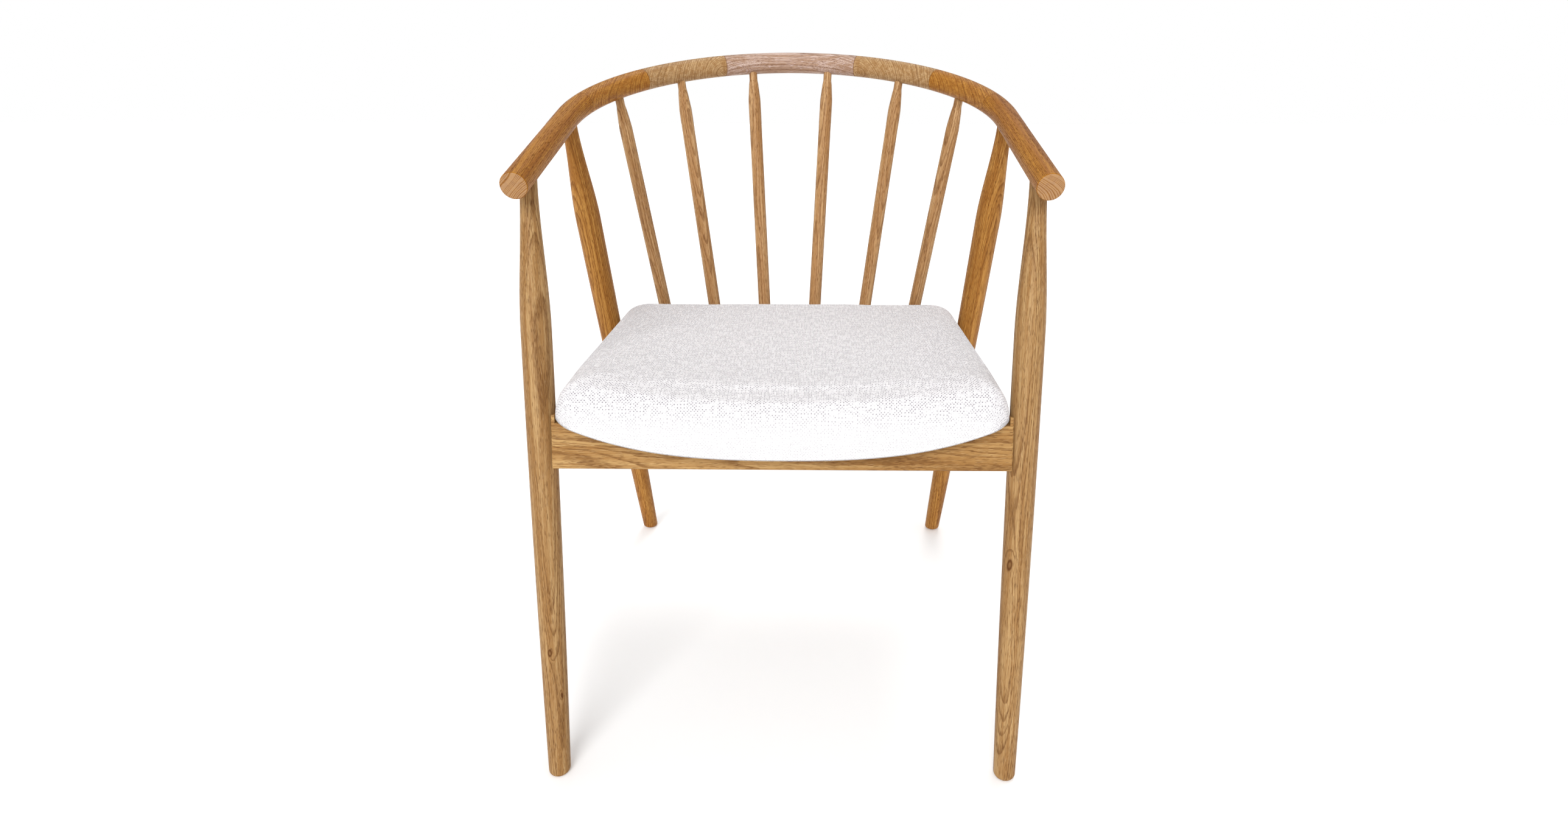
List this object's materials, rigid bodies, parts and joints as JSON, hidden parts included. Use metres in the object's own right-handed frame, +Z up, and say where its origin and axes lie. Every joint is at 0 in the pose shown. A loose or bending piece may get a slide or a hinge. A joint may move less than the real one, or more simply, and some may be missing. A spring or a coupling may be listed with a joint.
{
  "type": "spindle armchair",
  "caption": "Rigid armchair: a round bow on turned splayed legs makes both arms and the back, with turned spindles below it and an upholstered seat.",
  "frame": {"origin": "middle of the chair's box, on the floor", "axes": "+Z up, +X to the viewer's right when the chair is seen from its front, +Y from the front of the seat to the back"},
  "size_m": [0.579, 0.6456, 0.8009],
  "materials": {
    "oak": "clear matt lacquer on oak",
    "dowel_wood": "plain beech",
    "plywood": "moulded plywood",
    "seat_fabric": "off-white basket weave",
    "foam": "upholstery foam",
    "dust_cloth": "thin black cloth",
    "zinc_steel": "zinc plated",
    "brass": "plain"
  },
  "bodies": {
    "root": {"back_rail": "oak", "dust_cover": "dust_cloth", "front_leg_left": "oak", "front_leg_right": "oak", "front_rail": "oak", "left_arm_rail": "oak", "left_back_dowel": "dowel_wood", "left_bend_dowel": "dowel_wood", "left_bend_rail": "oak", "left_corner_block": "oak", "left_front_block_screw": "zinc_steel", "left_front_seat_screw": "zinc_steel", "left_leg_bolt": "zinc_steel", "left_leg_insert": "brass", "left_leg_washer": "zinc_steel", "left_rear_seat_screw": "zinc_steel", "left_shoulder_dowel": "dowel_wood", "left_shoulder_rail": "oak", "left_side_block_screw": "zinc_steel", "left_side_rail": "oak", "left_spindle_1": "oak", "left_spindle_2": "oak", "left_spindle_3": "oak", "rear_bearer": "oak", "rear_leg_left": "oak", "rear_leg_right": "oak", "rear_rail": "oak", "right_arm_rail": "oak", "right_back_dowel": "dowel_wood", "right_bend_dowel": "dowel_wood", "right_bend_rail": "oak", "right_corner_block": "oak", "right_front_block_screw": "zinc_steel", "right_front_seat_screw": "zinc_steel", "right_leg_bolt": "zinc_steel", "right_leg_insert": "brass", "right_leg_washer": "zinc_steel", "right_rear_seat_screw": "zinc_steel", "right_shoulder_dowel": "dowel_wood", "right_shoulder_rail": "oak", "right_side_block_screw": "zinc_steel", "right_side_rail": "oak", "right_spindle_1": "oak", "right_spindle_2": "oak", "right_spindle_3": "oak", "seat_board": "plywood", "seat_cover": "seat_fabric", "seat_foam": "foam"}
  },
  "joints": []
}
